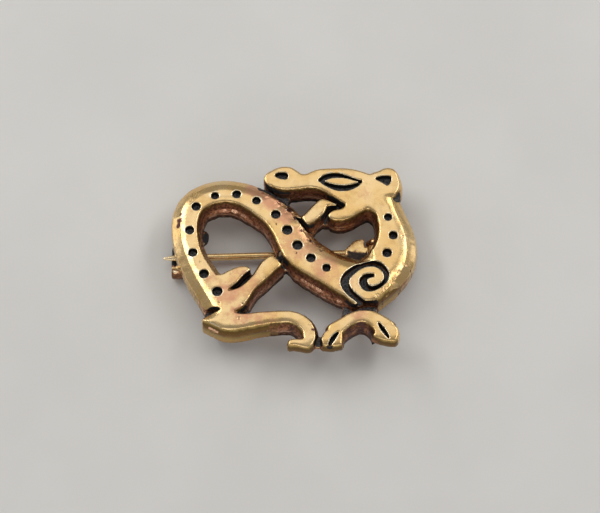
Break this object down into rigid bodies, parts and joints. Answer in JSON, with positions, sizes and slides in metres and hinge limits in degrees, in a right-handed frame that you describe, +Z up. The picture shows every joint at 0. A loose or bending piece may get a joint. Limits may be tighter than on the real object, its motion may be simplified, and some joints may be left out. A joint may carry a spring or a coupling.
{
  "type": "dragon brooch",
  "caption": "Cast openwork dragon brooch with a punched S-shaped body, a spiral shoulder and a hinged pin that closes in a hook catch.",
  "frame": {"origin": "middle of the bounding box at the level of the surface that the brooch lies on", "axes": "+X across the dragon towards its chest, +Y up the dragon towards its head, +Z up; the flat back lies level, 3 mm up on the hinge and the catch behind it"},
  "size_m": [0.042, 0.034, 0.0072],
  "materials": {
    "casting": "polished faces, dark patina in the recesses",
    "pin": "drawn wire, lightly tarnished"
  },
  "bodies": {
    "casting": {"dragon_casting": "casting"},
    "pin": {"pin": "pin"}
  },
  "joints": [
    {"name": "pin_swing", "type": "hinge", "parent": "casting", "child": "pin", "pos_m": [0.01409, 0.00315, 0.0015], "axis": [0, -1, 0], "range_deg": [0, 110]}
  ]
}
